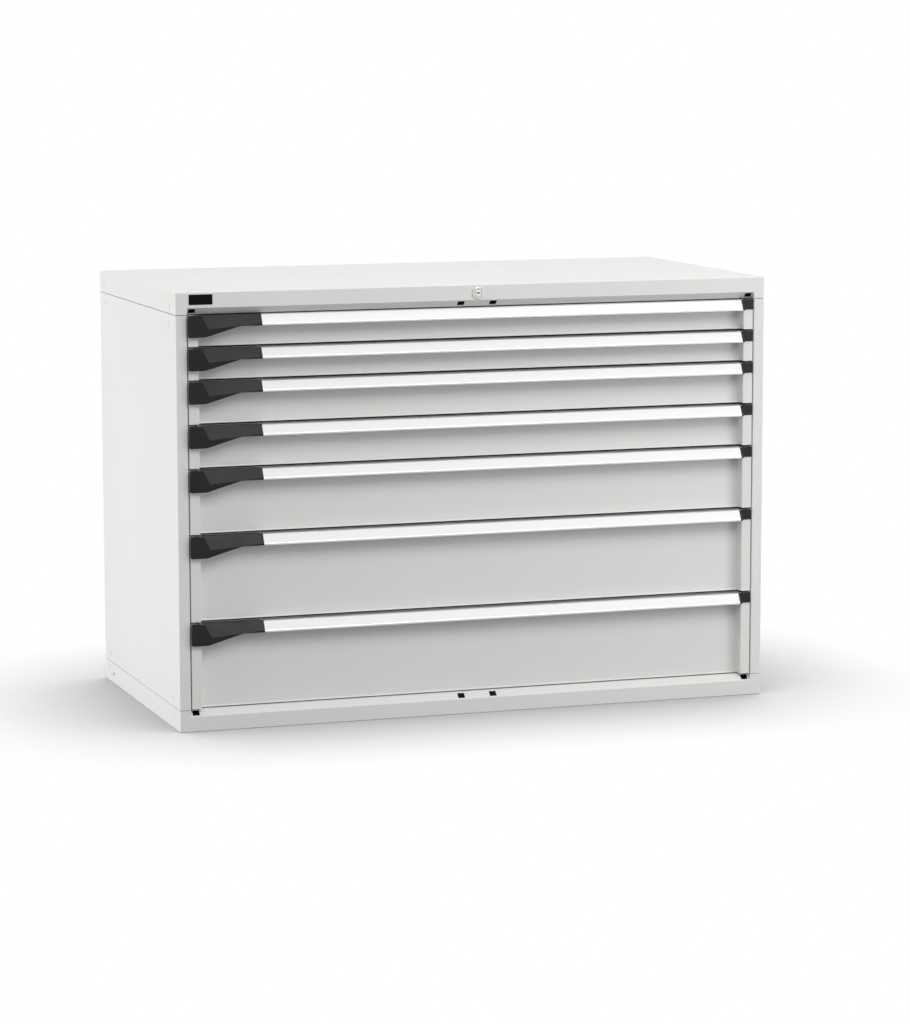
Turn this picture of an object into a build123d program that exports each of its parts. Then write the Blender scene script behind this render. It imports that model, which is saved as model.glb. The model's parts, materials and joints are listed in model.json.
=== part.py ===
from build123d import *
import math
import os

# A floor-standing steel cabinet with seven full-width drawers on telescopic runners.
# Millimetres. The origin is on the floor under the middle of the whole, +X to the right,
# +Z up, and the front faces -Y.

# Carcass
RAIL_HEIGHT = 50.0  # the top cover and the base, each
RAIL_BAND = 35.0  # flat front of a rail, before its slope
LIP_SHORT = 2.0  # the lip behind a rail's slope ends this far before the posts' flange
SHEET = 1.5  # carcass steel
BEND = 2.0  # outside radius of a fold
POST_WIDTH = 26.0
POST_RETURN = 30.0  # flange running back from a post's inner edge
REAR_FLANGE = 25.0
TOP_SEAM = 1.2  # between the top cover's skirt and the side panels
BASE_SEAM = 1.0
BACK_LAP = 30.0  # how far the back panel reaches behind the skirts
BACK_EASE = 0.5
REAR_ROOM = 87.8  # behind a tray's inside

# Slots in the rail slopes, with their plugs
SLOT_WIDTH = 16.5
SLOT = 14.0  # up the slope
SLOT_FROM_MIDDLE = 39.0
SLOT_FROM_SIDE = 39.0
PLUG_EASE = 0.2
PLUG_SINK = 0.5
PLUG_FLANGE = 2.0  # how far a plug's flange reaches past its hole
PLUG_FLANGE_THICK = 1.2

# Round flush plugs in the side panels, and flush screws in the skirts
SIDE_HOLE = 12.0
SIDE_HOLE_FRONT = 16.0  # behind the front upright's front face
SIDE_HOLE_BACK = 28.0  # before the rear upright's rear face
SIDE_HOLE_END = 23.0  # from the panel's end
SCREW_IN = 12.0  # inside the uprights' outer faces
SCREW_LEVEL = 16.0  # from the skirt's free edge
DISC_EASE = 0.5
DISC_SINK = 0.5
DISC_FLANGE = 1.2

# Fixing hole low at the rear of each side of the base
FIXING_HOLE = 9.0
FIXING_BACK = 87.0
FIXING_LEVEL = 24.0

# Blank plate at the upper left
PLATE_WIDTH = 54.5
PLATE_HEIGHT = 23.0
PLATE_THICK = 1.0
PLATE_FROM_SIDE = 31.0
PLATE_FROM_TOP = 5.0
PLATE_CORNER = 1.0

# Uprights
UPRIGHT_SHEET = 2.0
UPRIGHT_WIDTH = 40.0  # front to back
UPRIGHT_DEPTH = 20.0  # from the side panel inwards
UPRIGHT_STEP = 1.0  # behind the lock rod
UPRIGHT_BACK = 34.0  # rear face, before the back
HOOK_SLOT_PITCH = 25.0
HOOK_SLOT = (6.0, 12.0)

# Drawers, from the top down
DRAWER_PITCHES = (75.0, 75.0, 100.0, 100.0, 150.0, 200.0, 200.0)
TRAY_SHEET = 1.2
TRAY_WIDTH = 1326.0  # inside
TRAY_DEPTH = 612.0  # inside
TRAY_FLOOR = 4.0  # over the drawer's lower limit
TRAY_TOP_ROOM = 14.0  # wall top, under the drawer's upper limit
FRONT_LOW = 2.5  # front's lower edge over the drawer's lower limit
FRONT_TOP = 2.0  # front's upper edge under the drawer's upper limit
POST_GAP = 2.5
STRIP_WIDTH = 24.0
STRIP_PROUD = 0.0  # in front of the posts' plane
STRIP_HEM = 10.0
RECESS = 24.0  # recessed panel, behind the strips
FRONT_BEND = 1.8
TOE = 3.0  # sloped toe along the recessed panel's lower edge
FRONT_HEM = 10.0  # flange behind the recessed panel's upper edge

# Handle extrusion
HANDLE_REACH = 12.0  # in front of the posts' plane
HANDLE_DROP = 22.0  # height of the inclined face
HANDLE_LIP = 3.5
HANDLE_WALL = 2.4
HANDLE_BEND = 2.8
HANDLE_BACK = 18.0  # height of the flange on the recessed panel
LABEL_DEPTH = 0.8
LABEL_MARGIN = 1.6

# Black ends of the handle
END_BAND = 4.0  # end plate between the housing and the extrusion
CAP_BAND = 6.5  # end plate between the extrusion and the right-hand strip
END_SINK = 2.0  # end plates inside the extrusion's outline
CAP_HEIGHT = 24.0
CAP_PROUD = 2.0
HOUSING_PROUD = 11.0  # in front of the posts' plane
HOUSING_LENGTH = 166.0
HOUSING_TALL = 49.0
HOUSING_LOW = 25.5  # height at the slender end
HOUSING_BEND_START = 37.0  # lower outline, from the housing's outer end
HOUSING_BEND_END = 119.0
HOUSING_ROUND = 40.0
HOUSING_CORNER = 1.5
HOUSING_WALL = 2.5
HOUSING_REAR = 8.0  # shell's rear edge, behind the posts' plane
FACET_TOP = 29.0  # facet's outer edge at the top, from the housing's outer end
FACET_FOOT = 45.0  # and at its foot
FACET_TALL = 31.0
FACET_LOW = 21.0
HOUSING_EASE = 0.3

# Latch lever in the housing, and its strike on the post
SHAFT = 6.0
SHAFT_BACK = 6.0  # axis behind the posts' plane
SHAFT_DROP = 13.0  # axis under the handle's top
SHAFT_EASE = 0.4
PAD_THICK = 2.5
PAD_INSET = 3.0  # lever's finger pad, inside the housing's outline
RIB = 3.0
NOSE_WIDTH = 14.0
NOSE_REACH = 13.0  # behind the shaft
NOSE_RISE = 5.0  # hook over the shaft's axis
NOSE_THICK = 3.5
NOSE_EASE = 2.0  # from the strip's hem
HUB = 8.0
STRIKE_EASE = 0.5
STRIKE_THICK = 1.5
STRIKE_TALL = 8.0
STRIKE_LONG = 22.0
STRIKE_GAP = 1.0  # ahead of the lever's hook

# Runners
RUNNER_SHEET = 2.0
RUNNER_LEVEL = 26.0  # middle of a runner over the drawer's lower limit
CHANNEL = 24.0  # clear height of the fixed and the drawer rails
ROLLER_EASE = 0.3
ROLLER_STEP = 0.3  # between a roller and its bar
ROLLER_ROOM = 1.5  # between a roller and its channel's web
ROLLER_END = 20.0  # from the bar's end
ROLLER_SPAN = 250.0
STUD = 8.0
BAR_THICK = 2.7
BAR_HEIGHT = 20.0
BAR_EASE = 0.5
RAIL_STEP = 2.5  # fixed and middle rails start this far behind the lock bar
RAIL_SHORT = 15.0  # fixed rails end this far before the rear uprights' rear face
DRAWER_RAIL_FLANGE = 13.1

# Central lock
LOCK_FROM_TOP = 19.0
ROSETTE = 28.0
ROSETTE_PROUD = 3.0
ROSETTE_EDGE = 1.5
GROOVE = (17.4, 14.6)  # ring groove in the rosette
GROOVE_DEPTH = 1.5
BARREL = 18.0
BARREL_LENGTH = 24.0
BARREL_END = 3.0  # wall at the barrel's rear
PLUG = 13.0
JOURNAL = 7.0  # plug's rear end, through that wall
LOCK_EASE = 0.25
KEYHOLE = (8.0, 3.0)
KEYHOLE_DEPTH = 16.0
CRANK = 10.0  # crank pin's radius of turn
CRANK_ANGLE = -45.0  # crank pin from straight up, unlocked
CRANK_PIN = 6.0
CRANK_THICK = 3.0
ROD_THICK = 3.0
ROD_HEIGHT = 10.0
YOKE_EASE = 0.45
YOKE_WALL = 5.0
YOKE_TOP = 15.0  # over the lock's axis
BAR_STEP = 0.5  # before and behind the lock bar
LOCK_BAR_THICK = 3.0
LOCK_BAR_WIDTH = 24.5
LOCK_BAR_EASE = 1.0  # from the middle rails
LOCK_BAR_FOOT = 20.0  # over the base
CAM_PIN_IN = 8.5  # from the lock bar's inner edge
CAM_PIN_DROP = 14.0  # under the lock's axis, unlocked
CAM_WALL = 6.0
CATCH_LEVEL = 54.0  # drawer's catch, over its lower limit
CATCH_TALL = 8.0
CATCH_THICK = 3.5
CATCH_EASE = 1.0
GUIDE_WALL = 2.5
GUIDE_EASE = 0.4
GUIDE_LENGTH = 16.0
ROD_GUIDES = (150.0, 520.0)
BAR_GUIDES = (220.0, 720.0)

# Places worked out from the sizes above
STRIP_IN = TRAY_WIDTH / 2
STRIP_OUT = STRIP_IN + STRIP_WIDTH
POST_X = STRIP_OUT + POST_GAP
HALF = POST_X + POST_WIDTH
SIDE_IN = HALF - SHEET
WALL_OUT = STRIP_IN + TRAY_SHEET
DEPTH = RECESS - STRIP_PROUD + TRAY_SHEET + TRAY_DEPTH + REAR_ROOM  # without the handles
FRONT = (HANDLE_REACH - DEPTH) / 2  # the posts' plane
BACK = FRONT + DEPTH
HEIGHT = 2 * RAIL_HEIGHT + sum(DRAWER_PITCHES)
STRIP_Y = FRONT - STRIP_PROUD
PANEL_Y = STRIP_Y + RECESS
CORNER_Y = PANEL_Y - FRONT_BEND  # where the recess's rounded corner begins
TRAY_Y = PANEL_Y + TRAY_SHEET
TRAY_REAR = TRAY_Y + TRAY_DEPTH
UPRIGHT_X = SIDE_IN - UPRIGHT_DEPTH
BAR_IN = WALL_OUT + DRAWER_RAIL_FLANGE + BAR_EASE
BAR_OUT = BAR_IN + BAR_THICK
ROLLER = CHANNEL - 2 * ROLLER_EASE
SLOPE = RAIL_HEIGHT - RAIL_BAND
HANDLE_RIGHT = STRIP_IN - CAP_BAND
HANDLE_LEFT = -STRIP_OUT + HOUSING_LENGTH + END_BAND
LOCK_Z = HEIGHT - LOCK_FROM_TOP
TURN = math.sqrt(2) * CRANK  # travel of the rod and of the bar in a quarter turn
LOCK_BAR_Y = FRONT + POST_RETURN + BAR_STEP
LOCK_BAR_REAR = LOCK_BAR_Y + LOCK_BAR_THICK
ROD_Y = LOCK_BAR_REAR + BAR_STEP
UPRIGHT_Y = ROD_Y + ROD_THICK + UPRIGHT_STEP
UPRIGHT_REAR = BACK - UPRIGHT_BACK
RAIL_Y = LOCK_BAR_REAR + RAIL_STEP
LOCK_BAR_X = BAR_OUT + LOCK_BAR_EASE
LOCK_BAR_OUT = LOCK_BAR_X + LOCK_BAR_WIDTH
CAM_X = LOCK_BAR_X + CAM_PIN_IN
CAM_Z = LOCK_Z - CAM_PIN_DROP
CATCH_OUT = STRIP_OUT
NOTCH_OUT = CATCH_OUT + CATCH_EASE


# Shapes used by several pieces

def block(x, y, z):
    """A box between two limits on each axis."""
    spans = (x, y, z)
    size = [high - low for low, high in spans]
    middle = [(high + low) / 2 for low, high in spans]
    return Pos(*middle) * Box(*size)


def section_x(outline, x):
    """A face in Y and Z, drawn out along X between two limits."""
    return extrude(Plane.YZ.offset(x[0]) * outline, x[1] - x[0])


def section_y(outline, y):
    """A face in X and Z, drawn out along Y between two limits."""
    return extrude(Plane.XZ.offset(-y[1]) * outline, y[1] - y[0])


def section_z(outline, z):
    """A face in X and Y, drawn out along Z between two limits."""
    return extrude(Plane.XY.offset(z[0]) * outline, z[1] - z[0])


def outline(points, radius=0.0):
    """A face inside a closed outline with rounded corners."""
    return make_face(FilletPolyline(*points, radius=radius, close=True))


def fold(points, thick, bend):
    """A sheet folded along a line; the sheet lies to the line's left."""
    return make_face(offset(FilletPolyline(*points, radius=bend), thick, side=Side.LEFT))


def rod_x(diameter, x, y, z):
    """A round bar along X."""
    return Pos((x[0] + x[1]) / 2, y, z) * Rot(0, 90, 0) * Cylinder(diameter / 2, x[1] - x[0])


def rod_y(diameter, x, y, z):
    """A round bar along Y."""
    return Pos(x, (y[0] + y[1]) / 2, z) * Rot(90, 0, 0) * Cylinder(diameter / 2, y[1] - y[0])


def mirrored(shape):
    """The same piece on the cabinet's other side."""
    return mirror(shape, about=Plane.YZ)


def save(name, *pieces):
    """One node, from one or more separate solids."""
    solids = [solid for piece in pieces for solid in piece.solids()]
    shape = solids[0] if len(solids) == 1 else Compound(children=solids)
    shape.label = name
    export_step(shape, f"parts/{name}.step")


def levels():
    """Lower and upper limit of each drawer, from the top down."""
    top = HEIGHT - RAIL_HEIGHT
    for pitch in DRAWER_PITCHES:
        yield top - pitch, top
        top -= pitch


# Carcass

def slope_middle():
    """Middle of the rail slope, on a pan that stands on its floor."""
    return FRONT + SLOPE / 2, RAIL_BAND + SLOPE / 2


def slot_places():
    side = HALF - SLOT_FROM_SIDE
    return (-side, -SLOT_FROM_MIDDLE, SLOT_FROM_MIDDLE, side)


def pan():
    """The base: a sheet pan whose front leans back to a lip along its upper edge."""
    shell = block((-HALF, HALF), (FRONT, BACK), (0, RAIL_HEIGHT))
    folds = shell.edges().filter_by(Axis.Z) + shell.faces().sort_by(Axis.Z)[0].edges()
    shell = fillet(folds, BEND)
    inside_x = (-SIDE_IN, SIDE_IN)
    inside_y = (FRONT + SHEET, BACK - SHEET)
    shell -= block(inside_x, inside_y, (SHEET, RAIL_HEIGHT + SHEET))
    shell -= block((-POST_X, POST_X), (FRONT - SHEET, FRONT + SHEET), (RAIL_BAND, RAIL_HEIGHT + SHEET))
    step = SHEET * math.tan(math.radians(22.5))
    lip_y = FRONT + POST_RETURN - LIP_SHORT
    under = RAIL_HEIGHT - SHEET
    slope = [
        (FRONT, RAIL_BAND),
        (FRONT + SLOPE, RAIL_HEIGHT),
        (lip_y, RAIL_HEIGHT),
        (lip_y, under),
        (FRONT + SLOPE + step, under),
        (FRONT + SHEET, RAIL_BAND - step),
    ]
    shell += section_x(outline(slope), (-POST_X, POST_X))
    gusset_y = FRONT + SLOPE + step
    gusset = outline(
        [
            (FRONT, RAIL_BAND - step),
            (FRONT + SHEET, RAIL_BAND - step),
            (gusset_y, under),
            (gusset_y, RAIL_HEIGHT),
            (FRONT, RAIL_HEIGHT),
        ]
    )
    for x in ((-POST_X - SHEET, -POST_X), (POST_X, POST_X + SHEET)):
        shell += section_x(gusset, x)
    y, z = slope_middle()
    for x in slot_places():
        shell -= Pos(x, y, z) * Rot(45, 0, 0) * Box(SLOT_WIDTH, SLOT, 4 * SHEET)
    return shell


def turned_over(shape):
    """A piece of the base, turned over to serve at the top."""
    return Pos(0, 0, HEIGHT) * mirror(shape, about=Plane.XY)


def screw_places():
    return (UPRIGHT_Y + SCREW_IN, UPRIGHT_REAR - SCREW_IN)


def skirt_holes():
    """Screw holes through both side skirts of the base."""
    z = RAIL_HEIGHT - SCREW_LEVEL
    return [rod_x(SIDE_HOLE, (-2 * HALF, 2 * HALF), y, z) for y in screw_places()]


def base():
    shape = pan() - skirt_holes()
    return shape - rod_x(FIXING_HOLE, (-2 * HALF, 2 * HALF), BACK - FIXING_BACK, FIXING_LEVEL)


def top_cover():
    shape = turned_over(pan() - skirt_holes())
    return shape - rod_y(BARREL + 2 * LOCK_EASE, 0, (FRONT - BEND, FRONT + BEND), LOCK_Z)


def slope_plug(x):
    """A plug in one slot of the base, its flange behind the sheet."""
    y, z = slope_middle()
    wide = SLOT_WIDTH - 2 * PLUG_EASE
    tall = SLOT - 2 * PLUG_EASE
    flange = SLOT_WIDTH + 2 * PLUG_FLANGE
    body = Pos(0, 0, -(PLUG_SINK + SHEET) / 2) * Box(wide, tall, SHEET - PLUG_SINK)
    body += Pos(0, 0, -SHEET - PLUG_FLANGE_THICK / 2) * Box(flange, SLOT, PLUG_FLANGE_THICK)
    return Pos(x, y, z) * Rot(45, 0, 0) * body


def disc(y, z):
    """A flush round plug in the right-hand side, its flange behind the sheet."""
    reach = SIDE_HOLE + 2 * DISC_FLANGE
    head = rod_x(SIDE_HOLE - 2 * DISC_EASE, (SIDE_IN, HALF - DISC_SINK), y, z)
    return head + rod_x(reach, (SIDE_IN - DISC_FLANGE, SIDE_IN), y, z)


def side_hole_places():
    low = RAIL_HEIGHT + SIDE_HOLE_END
    places = (UPRIGHT_Y + SIDE_HOLE_FRONT, UPRIGHT_REAR - SIDE_HOLE_BACK)
    return [(y, z) for y in places for z in (low, HEIGHT - low)]


def side_panel():
    """The right-hand side, folded to a post in front and a flange at the rear."""
    line = [
        (POST_X, FRONT + POST_RETURN),
        (POST_X, FRONT),
        (HALF, FRONT),
        (HALF, BACK),
        (HALF - REAR_FLANGE, BACK),
    ]
    z = (RAIL_HEIGHT + BASE_SEAM, HEIGHT - RAIL_HEIGHT - TOP_SEAM)
    shape = section_z(fold(line, SHEET, BEND), z)
    return shape - [rod_x(SIDE_HOLE, (POST_X, 2 * HALF), y, z) for y, z in side_hole_places()]


def back_panel():
    x = SIDE_IN - BACK_EASE
    low = RAIL_HEIGHT - BACK_LAP
    return block((-x, x), (BACK - 2 * SHEET, BACK - SHEET), (low, HEIGHT - low))


def upright(rear_y):
    """A slotted channel inside the right-hand side, open towards the panel."""
    front_y = rear_y - UPRIGHT_WIDTH
    line = [(SIDE_IN, rear_y), (UPRIGHT_X, rear_y), (UPRIGHT_X, front_y), (SIDE_IN, front_y)]
    shape = section_z(fold(line, UPRIGHT_SHEET, UPRIGHT_SHEET), (SHEET, HEIGHT - SHEET))
    wide, tall = HOOK_SLOT
    first = RAIL_HEIGHT + HOOK_SLOT_PITCH / 2
    count = int(sum(DRAWER_PITCHES) // HOOK_SLOT_PITCH)
    heights = [first + n * HOOK_SLOT_PITCH for n in range(count)]
    hook = Box(2 * UPRIGHT_DEPTH, wide, tall)
    middle = (front_y + rear_y) / 2
    return shape - [Pos(UPRIGHT_X, middle, z) * hook for z in heights]


def fixed_rail(bottom):
    """A channel on the right-hand uprights, open towards the drawer."""
    z = bottom + RUNNER_LEVEL
    half = CHANNEL / 2 + RUNNER_SHEET
    edge = BAR_OUT + BAR_EASE
    line = [(edge, z - half), (UPRIGHT_X, z - half), (UPRIGHT_X, z + half), (edge, z + half)]
    return section_y(fold(line, RUNNER_SHEET, RUNNER_SHEET), (RAIL_Y, UPRIGHT_REAR - RAIL_SHORT))


def blank_plate():
    left = -HALF + PLATE_FROM_SIDE
    top = HEIGHT - PLATE_FROM_TOP
    plate = block((left, left + PLATE_WIDTH), (FRONT - PLATE_THICK, FRONT), (top - PLATE_HEIGHT, top))
    return fillet(plate.edges().filter_by(Axis.Y), PLATE_CORNER)


# Central lock

def lock_housing():
    """Rosette and barrel through the top rail."""
    face = FRONT - ROSETTE_PROUD
    rosette = rod_y(ROSETTE, 0, (face, FRONT), LOCK_Z)
    rosette = fillet(rosette.edges().sort_by(Axis.Y)[0], ROSETTE_EDGE)
    rosette += rod_y(BARREL, 0, (FRONT, FRONT + BARREL_LENGTH), LOCK_Z)
    ring = (face, face + GROOVE_DEPTH)
    rosette -= rod_y(GROOVE[0], 0, ring, LOCK_Z) - rod_y(GROOVE[1], 0, ring, LOCK_Z)
    rear = FRONT + BARREL_LENGTH
    rosette -= rod_y(PLUG + 2 * LOCK_EASE, 0, (face, rear - BARREL_END), LOCK_Z)
    return rosette - rod_y(JOURNAL + 2 * LOCK_EASE, 0, (face, rear), LOCK_Z)


def crank_pin_place():
    angle = math.radians(CRANK_ANGLE)
    return CRANK * math.sin(angle), LOCK_Z + CRANK * math.cos(angle)


def lock_plug():
    """Turning plug with its keyhole, and the crank behind the barrel."""
    face = FRONT - ROSETTE_PROUD
    crank_y = FRONT + BARREL_LENGTH + LOCK_EASE
    shoulder = FRONT + BARREL_LENGTH - BARREL_END - LOCK_EASE
    plug = rod_y(PLUG, 0, (face, shoulder), LOCK_Z) + rod_y(JOURNAL, 0, (face, crank_y), LOCK_Z)
    wide, tall = KEYHOLE
    key_z = (LOCK_Z - tall / 2, LOCK_Z + tall / 2)
    plug -= block((-wide / 2, wide / 2), (face, face + KEYHOLE_DEPTH), key_z)
    plate = (crank_y, crank_y + CRANK_THICK)
    x, z = crank_pin_place()
    web = CRANK_PIN + 2 * CRANK_THICK
    plug += rod_y(BARREL, 0, plate, LOCK_Z) + rod_y(web, x, plate, z)
    arm = Pos(x / 2, sum(plate) / 2, (z + LOCK_Z) / 2) * Rot(0, CRANK_ANGLE, 0)
    plug += arm * Box(web, CRANK_THICK, CRANK)
    return plug + rod_y(CRANK_PIN, x, (plate[1], ROD_Y + ROD_THICK), z)


def lock_rod():
    """Flat rod in the top cover, from a yoke on the crank to a sloped slot over the lock bar."""
    y = (ROD_Y, ROD_Y + ROD_THICK)
    pin_x = crank_pin_place()[0]
    gap = CRANK_PIN / 2 + YOKE_EASE
    low = LOCK_Z - CRANK_PIN
    high = low + ROD_HEIGHT
    yoke_x = (pin_x - gap - YOKE_WALL, pin_x + gap + YOKE_WALL)
    rod = block(yoke_x, y, (low, LOCK_Z + YOKE_TOP))
    foot = crank_pin_place()[1] - gap
    rod -= block((pin_x - gap, pin_x + gap), y, (foot, HEIGHT))
    reach = CRANK_PIN / 2 + YOKE_EASE + CAM_WALL
    end_x = (CAM_X - TURN - reach, CAM_X + reach)
    rod += block((yoke_x[0], end_x[0]), y, (low, min(high, foot)))
    rod += block(end_x, y, (CAM_Z - reach, CAM_Z + TURN + reach))
    slot = SlotCenterToCenter(math.sqrt(2) * TURN, CRANK_PIN + 2 * YOKE_EASE)
    middle = Pos(CAM_X - TURN / 2, ROD_Y + ROD_THICK, CAM_Z + TURN / 2)
    return rod - extrude(middle * Rot(90, 0, 0) * Rot(0, 0, -45) * slot, ROD_THICK)


def lock_bar():
    """Upright bar behind the right-hand post, notched where the drawers' catches pass."""
    x = (LOCK_BAR_X, LOCK_BAR_OUT)
    y = (LOCK_BAR_Y, LOCK_BAR_REAR)
    bar = block(x, y, (RAIL_HEIGHT + LOCK_BAR_FOOT, CAM_Z + CRANK_PIN))
    half = CATCH_TALL / 2 + CATCH_EASE
    for bottom, _ in levels():
        z = bottom + CATCH_LEVEL
        bar -= block((LOCK_BAR_X, NOTCH_OUT), y, (z - half, z + half))
    return bar + rod_y(CRANK_PIN, CAM_X, (y[1], ROD_Y + ROD_THICK), CAM_Z)


def rod_guide(x):
    """Hanger under the top sheet with a window for the lock rod."""
    low = LOCK_Z - CRANK_PIN
    y = (ROD_Y - GUIDE_EASE, ROD_Y + ROD_THICK + GUIDE_EASE)
    z = (low - GUIDE_EASE, low + ROD_HEIGHT + GUIDE_EASE)
    span = (x - GUIDE_LENGTH / 2, x + GUIDE_LENGTH / 2)
    outside_y = (y[0] - GUIDE_WALL, y[1] + GUIDE_WALL)
    hanger = block(span, outside_y, (z[0] - GUIDE_WALL, HEIGHT - SHEET))
    return hanger - block(span, y, z)


def bar_guide(z):
    """Clip on the front upright that holds the lock bar's outer edge."""
    span = (z - GUIDE_LENGTH / 2, z + GUIDE_LENGTH / 2)
    y = (LOCK_BAR_Y - GUIDE_EASE, LOCK_BAR_REAR + GUIDE_EASE)
    inner = UPRIGHT_X + RUNNER_SHEET
    outer = LOCK_BAR_OUT + GUIDE_EASE
    clip = block((inner, outer + GUIDE_WALL), (y[0] - GUIDE_WALL, UPRIGHT_Y), span)
    return clip - block((inner, outer), y, span)


# Drawers

def drawer_box(bottom, top):
    """Welded tray, folded front, runner channels and the lock's catch."""
    low = bottom + FRONT_LOW
    high = top - FRONT_TOP
    line = [
        (-STRIP_OUT, STRIP_Y + STRIP_HEM),
        (-STRIP_OUT, STRIP_Y),
        (-STRIP_IN, STRIP_Y),
        (-STRIP_IN, PANEL_Y),
        (STRIP_IN, PANEL_Y),
        (STRIP_IN, STRIP_Y),
        (STRIP_OUT, STRIP_Y),
        (STRIP_OUT, STRIP_Y + STRIP_HEM),
    ]
    box = section_z(fold(line, TRAY_SHEET, FRONT_BEND), (low, high))
    toe = [(TRAY_Y, low), (PANEL_Y - TOE, low), (PANEL_Y, low + TOE), (TRAY_Y, low + TOE)]
    box += section_x(outline(toe), (-STRIP_IN, STRIP_IN))
    box += block((-STRIP_IN, STRIP_IN), (PANEL_Y, PANEL_Y + FRONT_HEM), (high - TRAY_SHEET, high))
    tray_x = (-WALL_OUT, WALL_OUT)
    tray_z = (bottom + TRAY_FLOOR, top - TRAY_TOP_ROOM)
    tray = block(tray_x, (PANEL_Y, TRAY_REAR + TRAY_SHEET), tray_z)
    inside_z = (tray_z[0] + TRAY_SHEET, top)
    tray -= block((-STRIP_IN, STRIP_IN), (TRAY_Y, TRAY_REAR), inside_z)
    box += tray
    z = bottom + RUNNER_LEVEL
    half = CHANNEL / 2 + RUNNER_SHEET
    edge = WALL_OUT + DRAWER_RAIL_FLANGE
    rail = [(edge, z + half), (WALL_OUT, z + half), (WALL_OUT, z - half), (edge, z - half)]
    channel = section_y(fold(rail, RUNNER_SHEET, RUNNER_SHEET), (TRAY_Y, TRAY_REAR + TRAY_SHEET))
    box += channel + mirrored(channel)
    catch_z = bottom + CATCH_LEVEL
    catch_y = LOCK_BAR_REAR + CATCH_EASE
    catch = block(
        (WALL_OUT, CATCH_OUT),
        (catch_y, catch_y + CATCH_THICK),
        (catch_z - CATCH_TALL / 2, catch_z + CATCH_TALL / 2),
    )
    box += catch
    shaft_hole = SHAFT + 2 * SHAFT_EASE
    hole_x = (-STRIP_IN - 2 * TRAY_SHEET, -STRIP_IN + TRAY_SHEET)
    return box - rod_x(shaft_hole, hole_x, FRONT + SHAFT_BACK, high - SHAFT_DROP)


def handle_line(high):
    """Outer line of the handle, from its rear flange over the top to its lower lip."""
    reach = FRONT - HANDLE_REACH
    return [
        (PANEL_Y, high - HANDLE_BACK),
        (PANEL_Y, high),
        (FRONT, high),
        (reach, high - HANDLE_DROP),
        (reach, high - HANDLE_DROP - HANDLE_LIP),
    ]


def handle(high):
    """Extrusion with a shallow label channel in its inclined face."""
    bends = (0.0, HANDLE_BEND, HANDLE_BEND)
    section = make_face(offset(FilletPolyline(*handle_line(high), radius=bends), HANDLE_WALL, side=Side.LEFT))
    x = (HANDLE_LEFT, HANDLE_RIGHT)
    slant = math.hypot(HANDLE_REACH, HANDLE_DROP)
    lean = math.degrees(math.atan2(HANDLE_REACH, HANDLE_DROP))
    middle = Pos(sum(x) / 2, FRONT - HANDLE_REACH / 2, high - HANDLE_DROP / 2)
    channel = Box(x[1] - x[0], 2 * LABEL_DEPTH, slant - 2 * LABEL_MARGIN)
    return section_x(section, x) - middle * Rot(-lean, 0, 0) * channel


def handle_end(high, rear):
    """Face that closes an end of the handle, as far back as its rear edge."""
    face = FRONT - HANDLE_REACH + END_SINK
    bend = high - HANDLE_DROP
    low = bend - HANDLE_LIP
    foot = face + HANDLE_WALL + END_BAND
    over = high - END_SINK
    head = FRONT + END_SINK / 2
    points = [(rear, over), (head, over), (face, bend), (face, low), (foot, low), (rear, high - HANDLE_BACK)]
    return outline(points)


def right_cap(high):
    """Closes the handle's right end and covers the head of the strip."""
    cap = section_x(handle_end(high, CORNER_Y), (HANDLE_RIGHT, STRIP_IN - HOUSING_EASE))
    y = (STRIP_Y - CAP_PROUD, STRIP_Y)
    cap += block((STRIP_IN - HOUSING_EASE, STRIP_OUT), y, (high - CAP_HEIGHT, high))
    return cap


def housing_outline(high, inset=0.0):
    """Front outline of the latch housing, tall at the outer end."""
    left = -STRIP_OUT
    slender = high - HOUSING_LOW + inset
    deep = high - HOUSING_TALL + inset
    right = left + HOUSING_LENGTH - inset
    points = [
        (left + inset, high - inset),
        (left + inset, deep),
        (left + HOUSING_BEND_START, deep),
        (left + HOUSING_BEND_END, slender),
        (right, slender),
        (right, high - inset),
    ]
    corner = HOUSING_CORNER
    return outline(points, (corner, corner, HOUSING_ROUND, HOUSING_ROUND, corner, corner))


def facet_cut(high, grow=0.0):
    """Space in front of the housing's leaning facet; grow moves it into the wall."""
    left = -STRIP_OUT
    right = left + HOUSING_LENGTH + HOUSING_WALL
    face = FRONT - HOUSING_PROUD
    foot = (FACET_FOOT, HOUSING_LENGTH)
    rise = math.atan2(FACET_TALL - FACET_LOW, foot[1] - foot[0])
    lean = math.atan2(HANDLE_REACH, HANDLE_DROP)
    over = high + FACET_LOW
    end_low = high - FACET_LOW + HOUSING_WALL * math.tan(rise)
    side = (FACET_TOP - FACET_FOOT) / FACET_TALL
    region = [
        (left + FACET_FOOT - grow, high - FACET_TALL - grow),
        (right, end_low - grow),
        (right, over),
        (left + FACET_FOOT + side * (FACET_TALL + FACET_LOW) - grow, over),
    ]
    column = section_y(outline(region), (face - grow, PANEL_Y))
    plane = Plane(
        (left + FACET_FOOT, face, high - FACET_TALL),
        x_dir=(math.cos(rise), 0, math.sin(rise)),
        z_dir=(
            -math.sin(rise) * math.sin(lean),
            -math.cos(lean),
            math.cos(rise) * math.sin(lean),
        ),
    )
    slab = Pos(0, 0, HOUSING_LENGTH - grow) * Box(*[4 * HOUSING_LENGTH] * 2, 2 * HOUSING_LENGTH)
    return column & (plane * slab)


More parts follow.
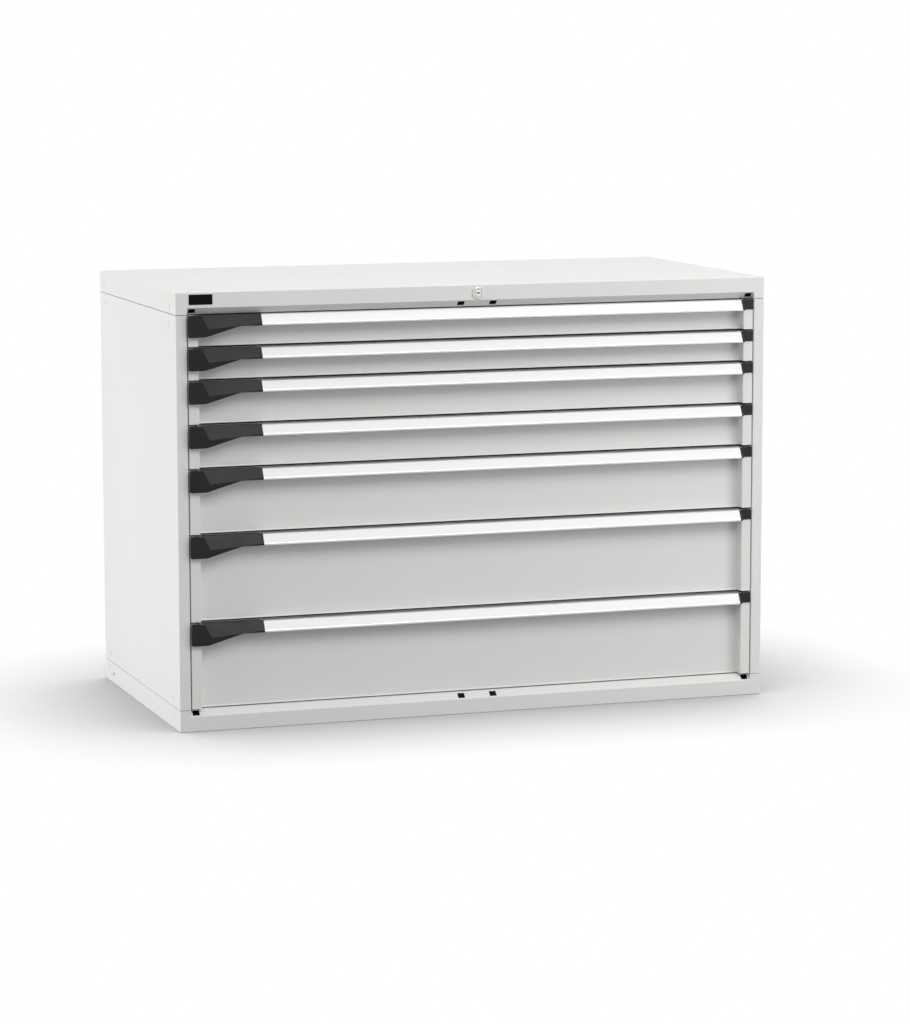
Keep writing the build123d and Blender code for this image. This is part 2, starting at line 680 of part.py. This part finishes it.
def latch_housing(high):
    """Hollow black housing at the handle's left end, open behind and below."""
    face = FRONT - HOUSING_PROUD
    rear = FRONT + HOUSING_REAR
    inner_x = -STRIP_IN + HOUSING_EASE
    right = -STRIP_OUT + HOUSING_LENGTH
    front = housing_outline(high)
    beside = block((inner_x, right), (face, rear), (high - HOUSING_TALL, high))
    shell = section_y(front, (face, STRIP_Y))
    shell += section_y(front, (face, rear)) & beside
    shell += block((inner_x, right), (face, CORNER_Y), (high - HOUSING_WALL, high))
    solid_facet = facet_cut(high, HOUSING_WALL)
    hollow_y = (face + HOUSING_WALL, rear)
    hollow = section_y(housing_outline(high, HOUSING_WALL), hollow_y)
    mouth_x = (inner_x + RIB, right - RIB)
    mouth = block(mouth_x, hollow_y, (high - HOUSING_TALL, high - SHAFT_DROP))
    shell -= (hollow + mouth) - solid_facet
    rib_z = (high - SHAFT_DROP - HUB, high)
    rib_y = (face + HOUSING_WALL, FRONT + SHAFT_BACK + HUB)
    for x in ((inner_x, inner_x + RIB), (right - RIB, right)):
        shell += block(x, rib_y, rib_z)
    bearing = SHAFT + 2 * SHAFT_EASE
    shell -= rod_x(bearing, (-STRIP_IN, right), FRONT + SHAFT_BACK, high - SHAFT_DROP)
    shell -= facet_cut(high)
    return shell + section_x(handle_end(high, PANEL_Y), (right, HANDLE_LEFT))


def latch_lever(high):
    """Shaft with a finger pad behind the housing and a hook behind the strip."""
    y = FRONT + SHAFT_BACK
    z = high - SHAFT_DROP
    left = -STRIP_OUT + TRAY_SHEET + NOSE_EASE
    right = -STRIP_OUT + HOUSING_LENGTH - SHAFT_EASE
    lever = rod_x(SHAFT, (left, right), y, z)
    pad_x = (-STRIP_IN + HOUSING_EASE + RIB + PAD_INSET, right - RIB - PAD_INSET)
    deep = high - HOUSING_TALL + PAD_INSET
    slender = high - HOUSING_LOW + PAD_INSET
    pad = [
        (pad_x[0], z),
        (pad_x[0], deep),
        (-STRIP_OUT + HOUSING_BEND_START, deep),
        (-STRIP_OUT + HOUSING_BEND_END, slender),
        (pad_x[1], slender),
        (pad_x[1], z),
    ]
    lever += section_y(outline(pad), (y - PAD_THICK / 2, y + PAD_THICK / 2))
    nose_x = (left, left + NOSE_WIDTH)
    lever += rod_x(HUB, nose_x, y, z)
    tip = (y + NOSE_REACH - NOSE_THICK, y + NOSE_REACH)
    lever += block(nose_x, (y, tip[1]), (z - NOSE_THICK / 2, z + NOSE_THICK / 2))
    return lever + block(nose_x, tip, (z - NOSE_THICK / 2, z + NOSE_RISE))


def strike(high):
    """Angle on the left post with a tongue ahead of the lever's hook."""
    hook_y = FRONT + SHAFT_BACK + NOSE_REACH - NOSE_THICK - STRIKE_GAP
    low = high - SHAFT_DROP + NOSE_RISE + STRIKE_EASE
    z = (low, low + STRIKE_TALL)
    post = -POST_X
    rear = FRONT + POST_RETURN - BEND
    shape = block((post, post + STRIKE_THICK), (rear - STRIKE_LONG, rear), z)
    tongue = -STRIP_OUT + TRAY_SHEET + NOSE_EASE + NOSE_WIDTH
    return shape + block((post, tongue), (hook_y - STRIKE_THICK, hook_y), z)


def roller_places():
    """Distance of each roller behind the bar's front end: drawer side, then cabinet side."""
    inner = (ROLLER_END, ROLLER_END + ROLLER_SPAN)
    return inner, [TRAY_REAR - RAIL_Y - place for place in inner]


def middle_rail(bottom):
    """Right-hand bar with studs, and the rollers that turn on them."""
    z = bottom + RUNNER_LEVEL
    bar = block((BAR_IN, BAR_OUT), (RAIL_Y, TRAY_REAR), (z - BAR_HEIGHT / 2, z + BAR_HEIGHT / 2))
    inner, outer = roller_places()
    inner_x = (WALL_OUT + RUNNER_SHEET + ROLLER_ROOM, BAR_IN - ROLLER_STEP)
    outer_x = (BAR_OUT + ROLLER_STEP, UPRIGHT_X - RUNNER_SHEET - ROLLER_ROOM)
    bore = STUD + 2 * ROLLER_EASE
    rollers = []
    for places, wheel in ((inner, inner_x), (outer, outer_x)):
        stud = (min(wheel[0], BAR_OUT), max(wheel[1], BAR_IN))
        for place in places:
            y = RAIL_Y + place
            bar += rod_x(STUD, stud, y, z)
            rollers.append(rod_x(ROLLER, wheel, y, z) - rod_x(bore, wheel, y, z))
    return [bar] + rollers


def main():
    os.makedirs("parts", exist_ok=True)
    drawers = list(levels())
    highs = [top - FRONT_TOP for _, top in drawers]
    panel = side_panel()
    save("base", base())
    save("top_cover", top_cover())
    save("right_side_panel", panel)
    save("left_side_panel", mirrored(panel))
    save("back_panel", back_panel())
    columns = [upright(UPRIGHT_Y + UPRIGHT_WIDTH), upright(UPRIGHT_REAR)]
    save("uprights", *columns, *[mirrored(column) for column in columns])
    rails = [fixed_rail(bottom) for bottom, _ in drawers]
    save("cabinet_rails", *rails, *[mirrored(rail) for rail in rails])
    plugs = [slope_plug(x) for x in slot_places()]
    save("rail_slot_plugs", *plugs, *[turned_over(plug) for plug in plugs])
    discs = [disc(y, z) for y, z in side_hole_places()]
    save("side_plugs", *discs, *[mirrored(plug) for plug in discs])
    screws = [disc(y, RAIL_HEIGHT - SCREW_LEVEL) for y in screw_places()]
    screws += [turned_over(screw) for screw in screws]
    save("skirt_screws", *screws, *[mirrored(screw) for screw in screws])
    save("blank_plate", blank_plate())
    save("lock_housing", lock_housing())
    save("lock_plug", lock_plug())
    save("lock_rod", lock_rod())
    save("lock_bar", lock_bar())
    guides = [rod_guide(x) for x in ROD_GUIDES] + [bar_guide(z) for z in BAR_GUIDES]
    save("lock_guides", *guides)
    save("latch_strikes", *[strike(high) for high in highs])
    for number, ((bottom, top), high) in enumerate(zip(drawers, highs), start=1):
        name = f"drawer_{number}"
        save(f"{name}_box", drawer_box(bottom, top))
        save(f"{name}_handle", handle(high))
        save(f"{name}_latch_housing", latch_housing(high))
        save(f"{name}_right_cap", right_cap(high))
        save(f"{name}_latch_lever", latch_lever(high))
        right = middle_rail(bottom)
        save(f"{name}_middle_rails", *right, *[mirrored(piece) for piece in right])


main()
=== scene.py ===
import json
import math
from collections import namedtuple

import bmesh
import bpy
from mathutils import Matrix, Vector


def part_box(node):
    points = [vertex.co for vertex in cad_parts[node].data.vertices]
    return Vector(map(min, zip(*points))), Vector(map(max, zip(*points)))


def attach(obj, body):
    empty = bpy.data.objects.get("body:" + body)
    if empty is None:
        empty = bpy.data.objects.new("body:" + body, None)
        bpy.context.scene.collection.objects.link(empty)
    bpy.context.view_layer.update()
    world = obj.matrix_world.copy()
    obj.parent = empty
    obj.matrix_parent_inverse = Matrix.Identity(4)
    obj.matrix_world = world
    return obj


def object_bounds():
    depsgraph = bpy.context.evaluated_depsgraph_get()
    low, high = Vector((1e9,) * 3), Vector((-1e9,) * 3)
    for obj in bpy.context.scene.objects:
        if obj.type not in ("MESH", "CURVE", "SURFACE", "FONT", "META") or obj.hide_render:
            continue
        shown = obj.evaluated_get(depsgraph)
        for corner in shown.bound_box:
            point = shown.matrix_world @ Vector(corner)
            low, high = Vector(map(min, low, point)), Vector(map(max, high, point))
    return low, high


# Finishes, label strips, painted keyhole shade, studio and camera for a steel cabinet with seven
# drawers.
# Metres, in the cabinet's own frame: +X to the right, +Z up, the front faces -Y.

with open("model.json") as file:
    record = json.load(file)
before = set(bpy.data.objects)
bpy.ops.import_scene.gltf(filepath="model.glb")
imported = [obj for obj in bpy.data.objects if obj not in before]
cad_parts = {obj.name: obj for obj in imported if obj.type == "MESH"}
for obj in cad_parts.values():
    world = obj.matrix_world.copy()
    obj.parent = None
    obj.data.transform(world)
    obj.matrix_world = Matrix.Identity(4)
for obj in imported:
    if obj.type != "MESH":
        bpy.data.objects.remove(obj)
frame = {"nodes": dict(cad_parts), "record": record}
CAD_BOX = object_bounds()
NODES = frame["nodes"]
DRAWERS = range(1, 8)  # numbered from the top

# A texture has waves per metre, finer octaves and their share, and a stretch along X, Y and Z
# where it runs in lines. A bump has a strength and a depth.
Noise = namedtuple("Noise", "scale detail rough stretch", defaults=(None,))
Bump = namedtuple("Bump", "strength depth")
MIDDLE = (0.3, 0.7)  # the range of a texture that is spread over a finish

# Powder coat. All colours are linear values.
PAINT = (0.775, 0.768, 0.755, 1.0)
PAINT_WARM = (0.757, 0.750, 0.735, 1.0)
PAINT_IOR = 1.5
PAINT_SPECULAR = 0.3
PAINT_ROUGH = (0.46, 0.56)
PAINT_DRIFT = Noise(2.3, 3.0, 0.5)
PAINT_GLOSS = Noise(9.0, 4.0, 0.6)
PAINT_PEEL = Noise(420.0, 2.0, 0.5)
PAINT_PEEL_BUMP = Bump(0.16, 0.0002)
PAINT_GRAIN = Noise(2600.0, 1.0, 0.5)
PAINT_GRAIN_BUMP = Bump(0.08, 0.00005)

# Anodised aluminium
ALUMINIUM = (0.58, 0.585, 0.59, 1.0)
ALUMINIUM_STREAK = (0.51, 0.515, 0.525, 1.0)
ALUMINIUM_ROUGH = (0.34, 0.46)
DRAWN_LINES = Noise(1.0, 4.0, 0.65, stretch=(1.6, 2600.0, 2600.0))
DRAWN_BUMP = Bump(0.10, 0.00003)

# Black nylon
NYLON = (0.0032, 0.0032, 0.0034, 1.0)
NYLON_WORN = (0.0060, 0.0060, 0.0062, 1.0)
NYLON_SPECULAR = 0.28
NYLON_ROUGH = (0.36, 0.46)
NYLON_RUB = Noise(26.0, 4.0, 0.6)
NYLON_GRAIN = Noise(1500.0, 3.0, 0.6)
NYLON_BUMP = Bump(0.30, 0.00012)

# Black enamel
JET = (0.0018, 0.0018, 0.0019, 1.0)
JET_WORN = (0.0035, 0.0035, 0.0036, 1.0)
JET_SPECULAR = 0.08
JET_ROUGH = (0.28, 0.40)
JET_RUB = Noise(60.0, 4.0, 0.6)
JET_GRAIN = Noise(900.0, 3.0, 0.6)
JET_BUMP = Bump(0.12, 0.00006)
BLACK_IOR = 1.46  # of the nylon and the enamel

# Nickel plate
NICKEL = (0.66, 0.65, 0.63, 1.0)
NICKEL_DARK = (0.54, 0.53, 0.51, 1.0)
POLISHED = (0.86, 0.855, 0.84, 1.0)
POLISHED_DARK = (0.76, 0.75, 0.73, 1.0)
NICKEL_ROUGH = (0.16, 0.30)
NICKEL_MARKS = Noise(1.0, 3.0, 0.6, stretch=(900.0, 900.0, 90.0))
NICKEL_BUMP = Bump(0.06, 0.00002)

# Zinc plate
ZINC = (0.60, 0.61, 0.63, 1.0)
ZINC_DARK = (0.47, 0.48, 0.50, 1.0)
ZINC_ROUGH = (0.30, 0.48)
ZINC_BLOOM = Noise(70.0, 5.0, 0.65)
ROLLED_LINES = Noise(1.0, 3.0, 0.6, stretch=(1400.0, 6.0, 1400.0))
ROLLED_BUMP = Bump(0.12, 0.00004)

# Label card
LABEL = (0.87, 0.87, 0.865, 1.0)
LABEL_FIBRE = (0.84, 0.84, 0.83, 1.0)
LABEL_ROUGH = (0.55, 0.72)
LABEL_FIBRES = Noise(1300.0, 4.0, 0.7)
LABEL_BUMP = Bump(0.05, 0.00003)
CLEAR_WEIGHT = 0.4  # the clear strip over the card
CLEAR_ROUGH = 0.12
CLEAR_IOR = 1.49

# Label strip in the channel of each handle
HANDLE_REACH = 0.012  # inclined face, front to back
HANDLE_DROP = 0.022  # and its height
CHANNEL_DEPTH = 0.0008  # in the inclined face
CHANNEL_MARGIN = 0.0016  # from the edges of that face
LABEL_EASE = 0.0003  # short of the channel's edges
LABEL_END = 0.0003  # short of each end of the handle
LABEL_THICK = 0.0005  # at its edges
LABEL_CROWN = 0.0002  # more in the middle
LABEL_STEPS = 8  # over the crown

# Painted shade in the lock's keyhole: a black piece that stands for the dark inside of the hole
LOCK_FROM_TOP = 0.019
KEYWAY_HALF = 0.0039  # half its width, round ends included
KEYWAY_ROUND = 0.0014  # radius of the ends
KEYWAY_SINK = 0.0006  # behind the plug's face
KEYWAY_LENGTH = 0.012
KEYWAY_STEPS = 10  # round each end

# Camera, with its angles in degrees
CAMERA = (-2.721, -8.133, 1.635)
CAMERA_AZIMUTH = -18.914
CAMERA_ELEVATION = 8.026
CAMERA_ROLL = -0.062
FOCAL_PIXELS = 3595.3
FRAME_LONG = 1024  # the picture's longer side, in pixels
SENSOR = 36.0  # millimetres

# Studio
WHITE = (1.0, 1.0, 1.0, 1.0)
FLOOR = (0.26, 0.26, 0.26, 1.0)  # for the light that it throws back
FLOOR_HALF = 30.0
SHADOW_REACH = 0.5  # of the soft shadow on the floor
SKY = 0.46

Lamp = namedtuple("Lamp", "place target size watts")
LAMPS = {
    "over": Lamp((0.0, 0.2, 5.4), (0.0, 0.2, 0.5), (4.5, 3.0), 86.0),
    "key": Lamp((1.0, -4.1, 4.0), (0.0, -0.4, 0.5), (4.0, 2.4), 120.0),
    "left": Lamp((-4.8, 0.2, 0.5), (-0.7, 0.0, 0.45), (3.0, 1.0), 121.0),
    "right": Lamp((2.6, -2.2, 0.7), (0.75, -0.36, 0.4), (1.2, 1.2), 23.0),
    "right_side": Lamp((4.8, 1.2, 0.6), (0.7, 0.0, 0.5), (3.0, 0.8), 50.0),
    "back": Lamp((0.6, 4.8, 0.5), (0.2, 0.4, 0.5), (2.0, 0.8), 82.0),
}


# Finishes

class Finish:
    """One node material: a Principled shader with textures in the object's own metres."""

    def __init__(self, name, **constants):
        self.material = bpy.data.materials.new(name)
        self.material.use_nodes = True
        self.tree = self.material.node_tree
        self.shader = self.tree.nodes["Principled BSDF"]
        for socket, value in constants.items():
            self.shader.inputs[socket.replace("_", " ")].default_value = value
        self.place = self.tree.nodes.new("ShaderNodeTexCoord").outputs["Object"]

    def link(self, source, target):
        self.tree.links.new(source, target)

    def stretched(self, scale):
        """Coordinates scaled along each axis."""
        mapping = self.tree.nodes.new("ShaderNodeMapping")
        mapping.inputs["Scale"].default_value = scale
        self.link(self.place, mapping.inputs["Vector"])
        return mapping.outputs["Vector"]

    def noise(self, texture):
        made = self.tree.nodes.new("ShaderNodeTexNoise")
        made.inputs["Scale"].default_value = texture.scale
        made.inputs["Detail"].default_value = texture.detail
        made.inputs["Roughness"].default_value = texture.rough
        place = self.stretched(texture.stretch) if texture.stretch else self.place
        self.link(place, made.inputs["Vector"])
        return made.outputs["Fac"]

    def spread(self, source, low, high):
        """A texture's middle range, spread between two values."""
        made = self.tree.nodes.new("ShaderNodeMapRange")
        self.link(source, made.inputs["Value"])
        made.inputs["From Min"].default_value, made.inputs["From Max"].default_value = MIDDLE
        made.inputs["To Min"].default_value = low
        made.inputs["To Max"].default_value = high
        return made.outputs["Result"]

    def colour(self, source, first, second):
        """Two colours, mixed by a texture."""
        made = self.tree.nodes.new("ShaderNodeMix")
        made.data_type = "RGBA"
        self.link(self.spread(source, 0.0, 1.0), made.inputs["Factor"])
        made.inputs["A"].default_value = first
        made.inputs["B"].default_value = second
        self.link(made.outputs["Result"], self.shader.inputs["Base Color"])

    def roughness(self, source, limits):
        self.link(self.spread(source, *limits), self.shader.inputs["Roughness"])

    def relief(self, *layers):
        """Textures as bumps, laid over each other."""
        normal = None
        for source, bump in layers:
            made = self.tree.nodes.new("ShaderNodeBump")
            made.inputs["Strength"].default_value = bump.strength
            made.inputs["Distance"].default_value = bump.depth
            self.link(source, made.inputs["Height"])
            if normal:
                self.link(normal, made.inputs["Normal"])
            normal = made.outputs["Normal"]
        self.link(normal, self.shader.inputs["Normal"])


def powder_coat():
    """Light grey powder coat: fine orange peel, a faint drift of tone and of gloss."""
    finish = Finish("powder_coat", IOR=PAINT_IOR, Specular_IOR_Level=PAINT_SPECULAR)
    finish.colour(finish.noise(PAINT_DRIFT), PAINT, PAINT_WARM)
    finish.roughness(finish.noise(PAINT_GLOSS), PAINT_ROUGH)
    peel = finish.noise(PAINT_PEEL)
    grain = finish.noise(PAINT_GRAIN)
    finish.relief((peel, PAINT_PEEL_BUMP), (grain, PAINT_GRAIN_BUMP))
    return finish.material


def anodised():
    """Natural anodised aluminium with drawing lines along the extrusion."""
    finish = Finish("anodised_aluminium", Metallic=1.0)
    lines = finish.noise(DRAWN_LINES)
    finish.colour(lines, ALUMINIUM, ALUMINIUM_STREAK)
    finish.roughness(lines, ALUMINIUM_ROUGH)
    finish.relief((lines, DRAWN_BUMP))
    return finish.material


def moulded_black():
    """Black nylon with the fine erosion grain of its mould."""
    finish = Finish("moulded_black", IOR=BLACK_IOR, Specular_IOR_Level=NYLON_SPECULAR)
    rub = finish.noise(NYLON_RUB)
    finish.colour(rub, NYLON, NYLON_WORN)
    finish.roughness(rub, NYLON_ROUGH)
    finish.relief((finish.noise(NYLON_GRAIN), NYLON_BUMP))
    return finish.material


def jet_black():
    """Dense black enamel with a faint rub."""
    finish = Finish("jet_black", IOR=BLACK_IOR, Specular_IOR_Level=JET_SPECULAR)
    rub = finish.noise(JET_RUB)
    finish.colour(rub, JET, JET_WORN)
    finish.roughness(rub, JET_ROUGH)
    finish.relief((finish.noise(JET_GRAIN), JET_BUMP))
    return finish.material


def nickel(name, bright, dark):
    """Nickel plate with faint polishing marks."""
    finish = Finish(name, Metallic=1.0)
    marks = finish.noise(NICKEL_MARKS)
    finish.colour(marks, bright, dark)
    finish.roughness(marks, NICKEL_ROUGH)
    finish.relief((marks, NICKEL_BUMP))
    return finish.material


def zinc():
    """Zinc plate over rolled strip: soft blooms over rolling lines."""
    finish = Finish("zinc_plate", Metallic=1.0)
    bloom = finish.noise(ZINC_BLOOM)
    finish.colour(bloom, ZINC, ZINC_DARK)
    finish.roughness(bloom, ZINC_ROUGH)
    finish.relief((finish.noise(ROLLED_LINES), ROLLED_BUMP))
    return finish.material


def label_card():
    """White card under a clear strip."""
    finish = Finish(
        "label_card", Coat_Weight=CLEAR_WEIGHT, Coat_Roughness=CLEAR_ROUGH, Coat_IOR=CLEAR_IOR
    )
    fibre = finish.noise(LABEL_FIBRES)
    finish.colour(fibre, LABEL, LABEL_FIBRE)
    finish.roughness(fibre, LABEL_ROUGH)
    finish.relief((fibre, LABEL_BUMP))
    return finish.material


FINISHES = {
    "paint": powder_coat(),
    "aluminium": anodised(),
    "black_plastic": moulded_black(),
    "chrome": nickel("nickel_plate", NICKEL, NICKEL_DARK),
    "zinc": zinc(),
}
CARD = label_card()
ENAMEL = jet_black()
OWN_FINISHES = {
    "blank_plate": ENAMEL,
    "rail_slot_plugs": ENAMEL,
    "lock_plug": nickel("polished_nickel", POLISHED, POLISHED_DARK),
}


def dress_nodes():
    """Gives every CAD node the finish of its material slot, or its own."""
    for row in frame["record"]["subparts"]:
        slots = NODES[row["node"]].data.materials
        slots.clear()
        slots.append(OWN_FINISHES.get(row["node"], FINISHES[row["material_slot"]]))


# Label strips and painted keyhole shade

def prism(name, ends, material, body):
    """A closed piece between two outlines of as many points, on one body."""
    mesh = bmesh.new()
    first, last = [[mesh.verts.new(point) for point in end] for end in ends]
    count = len(first)
    for index in range(count):
        following = (index + 1) % count
        mesh.faces.new((first[index], first[following], last[following], last[index]))
    mesh.faces.new(reversed(first))
    mesh.faces.new(last)
    bmesh.ops.recalc_face_normals(mesh, faces=mesh.faces)
    data = bpy.data.meshes.new(name)
    mesh.to_mesh(data)
    mesh.free()
    data.materials.append(material)
    piece = bpy.data.objects.new(name, data)
    bpy.context.scene.collection.objects.link(piece)
    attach(piece, body)


def label_strip(number):
    """A crowned strip in the label channel of one handle."""
    low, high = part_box(f"drawer_{number}_handle")
    slant = math.hypot(HANDLE_REACH, HANDLE_DROP)
    lean = math.atan2(HANDLE_REACH, HANDLE_DROP)
    half = slant / 2 - CHANNEL_MARGIN - LABEL_EASE
    middle = Vector((0, low.y + HANDLE_REACH / 2, high.z - HANDLE_DROP / 2))
    place = Matrix.Translation(middle) @ Matrix.Rotation(-lean, 4, "X")
    outline = [(CHANNEL_DEPTH, -half)]
    for step in range(LABEL_STEPS + 1):
        share = 2 * step / LABEL_STEPS - 1
        crown = LABEL_CROWN * (1 - share**2)
        outline.append((CHANNEL_DEPTH - LABEL_THICK - crown, share * half))
    outline.append((CHANNEL_DEPTH, half))
    sides = (low.x + LABEL_END, high.x - LABEL_END)
    ends = [[place @ Vector((side, y, z)) for y, z in outline] for side in sides]
    prism(f"drawer_{number}_label_strip", ends, CARD, f"drawer_{number}")


def keyhole_shade():
    """Painted shade: a black piece in the keyway, a little behind the plug's face, that stands for
    the dark inside of the keyhole.
    """
    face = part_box("lock_plug")[0].y + KEYWAY_SINK
    middle = CAD_BOX[1].z - LOCK_FROM_TOP
    straight = KEYWAY_HALF - KEYWAY_ROUND
    outline = []
    for side in (1, -1):
        for step in range(KEYWAY_STEPS + 1):
            angle = math.pi * (step / KEYWAY_STEPS - 0.5)
            x = side * (straight + KEYWAY_ROUND * math.cos(angle))
            outline.append((x, middle + side * KEYWAY_ROUND * math.sin(angle)))
    ends = [[Vector((x, y, z)) for x, z in outline] for y in (face, face + KEYWAY_LENGTH)]
    prism("lock_keyhole_shade", ends, ENAMEL, "lock_plug")


# Studio

def seen(tree):
    """One for rays from the camera, a reflection or clear material, and nought for the rest."""
    path = tree.nodes.new("ShaderNodeLightPath")
    total = path.outputs["Is Camera Ray"]
    for name in ("Is Glossy Ray", "Is Transmission Ray"):
        both = tree.nodes.new("ShaderNodeMath")
        both.operation = "MAXIMUM"
        tree.links.new(total, both.inputs[0])
        tree.links.new(path.outputs[name], both.inputs[1])
        total = both.outputs[0]
    return total


def seen_mix(tree, unseen, white, surface):
    """Puts the white shader where it is seen, and the other one elsewhere."""
    both = tree.nodes.new("ShaderNodeMixShader")
    tree.links.new(seen(tree), both.inputs["Fac"])
    tree.links.new(unseen.outputs[0], both.inputs[1])
    tree.links.new(white.outputs[0], both.inputs[2])
    tree.links.new(both.outputs[0], surface)


def floor_material():
    """Floor that is seen as white under the cabinet's soft shadow, and throws little light back."""
    material = bpy.data.materials.new("studio_floor")
    material.use_nodes = True
    tree = material.node_tree
    tree.nodes.clear()
    matte = tree.nodes.new("ShaderNodeBsdfDiffuse")
    matte.inputs["Color"].default_value = FLOOR
    shadow = tree.nodes.new("ShaderNodeAmbientOcclusion")
    shadow.inputs["Color"].default_value = WHITE
    shadow.inputs["Distance"].default_value = SHADOW_REACH
    white = tree.nodes.new("ShaderNodeEmission")
    tree.links.new(shadow.outputs["Color"], white.inputs["Color"])
    output = tree.nodes.new("ShaderNodeOutputMaterial")
    seen_mix(tree, matte, white, output.inputs["Surface"])
    return material


def lay_floor():
    """A wide floor under the cabinet."""
    mesh = bmesh.new()
    bmesh.ops.create_grid(mesh, x_segments=1, y_segments=1, size=FLOOR_HALF)
    data = bpy.data.meshes.new("floor")
    mesh.to_mesh(data)
    mesh.free()
    data.materials.append(floor_material())
    floor = bpy.data.objects.new("floor", data)
    floor.location.z = CAD_BOX[0].z
    bpy.context.scene.collection.objects.link(floor)


def light_sky():
    """White where it is seen, and a plain soft light elsewhere."""
    world = bpy.data.worlds.new("studio")
    bpy.context.scene.world = world
    world.use_nodes = True
    tree = world.node_tree
    soft = tree.nodes["Background"]
    soft.inputs["Color"].default_value = WHITE
    soft.inputs["Strength"].default_value = SKY
    white = tree.nodes.new("ShaderNodeBackground")
    white.inputs["Color"].default_value = WHITE
    seen_mix(tree, soft, white, tree.nodes["World Output"].inputs["Surface"])


def hang_lamps():
    """Area lamps, each aimed at its target and hidden from the camera."""
    for name, lamp in LAMPS.items():
        data = bpy.data.lights.new(name, "AREA")
        data.shape = "RECTANGLE"
        data.size, data.size_y = lamp.size
        data.energy = lamp.watts
        hung = bpy.data.objects.new(name, data)
        hung.location = lamp.place
        hung.visible_camera = False
        aim = Vector(lamp.target) - Vector(lamp.place)
        hung.rotation_euler = aim.to_track_quat("-Z", "Y").to_euler()
        bpy.context.scene.collection.objects.link(hung)


def set_camera():
    """The photograph's viewpoint."""
    data = bpy.data.cameras.new("camera")
    data.sensor_width = SENSOR
    data.lens = FOCAL_PIXELS * SENSOR / FRAME_LONG
    camera = bpy.data.objects.new("camera", data)
    camera.location = CAMERA
    turn = Matrix.Rotation(math.radians(CAMERA_AZIMUTH), 4, "Z")
    tilt = Matrix.Rotation(math.radians(90 - CAMERA_ELEVATION), 4, "X")
    roll = Matrix.Rotation(math.radians(CAMERA_ROLL), 4, "Z")
    camera.rotation_euler = (turn @ tilt @ roll).to_euler()
    bpy.context.scene.collection.objects.link(camera)
    bpy.context.scene.camera = camera


dress_nodes()
for drawer in DRAWERS:
    label_strip(drawer)
keyhole_shade()
lay_floor()
light_sky()
hang_lamps()
set_camera()
bpy.context.scene.view_settings.view_transform = "Standard"
